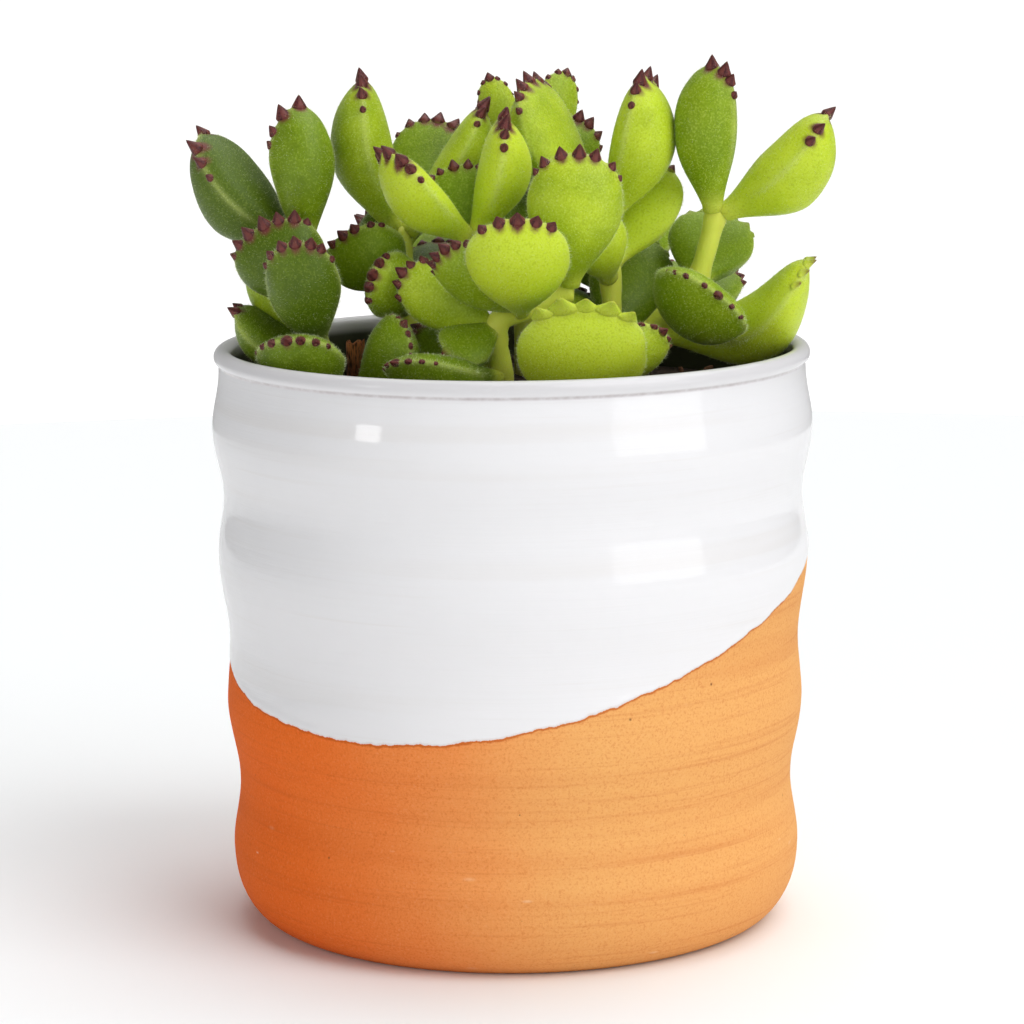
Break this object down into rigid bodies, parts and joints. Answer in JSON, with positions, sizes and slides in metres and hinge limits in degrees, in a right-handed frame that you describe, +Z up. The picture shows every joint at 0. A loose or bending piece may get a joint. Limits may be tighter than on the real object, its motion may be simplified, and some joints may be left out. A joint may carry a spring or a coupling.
{
  "type": "potted bear paw succulent",
  "caption": "Small succulent with plump, toothed, velvety leaves on several stems, growing in a round clay pot that is dipped in white glaze on a slant.",
  "frame": {"origin": "middle of the pot's flat foot, on the surface that it stands on", "axes": "+Z up along the pot's axis, -Y to the front that the picture shows, +X to its right"},
  "size_m": [0.1592, 0.15, 0.2155],
  "materials": {
    "glazed_clay": "glossy white glaze over terracotta, bare terracotta below a slanted dip line",
    "potting_soil": "dark, coarse and matte",
    "dry_stem": "matte brown bark with a torn orange end",
    "leaf": "velvety yellow-green with short pale hairs and maroon teeth"
  },
  "bodies": {
    "root": {"pot": "glazed_clay", "soil": "potting_soil", "stem_stub": "dry_stem", "leafy_stem_left": "leaf", "leafy_stem_offset": "leaf", "leafy_stem_mid_left": "leaf", "leafy_stem_middle": "leaf", "leafy_stem_front": "leaf", "leafy_stem_front_right": "leaf", "leafy_stem_mid_right": "leaf", "leafy_stem_right": "leaf", "leafy_stem_back": "leaf", "leafy_stem_back_left": "leaf", "leafy_stem_back_right": "leaf"}
  },
  "joints": []
}
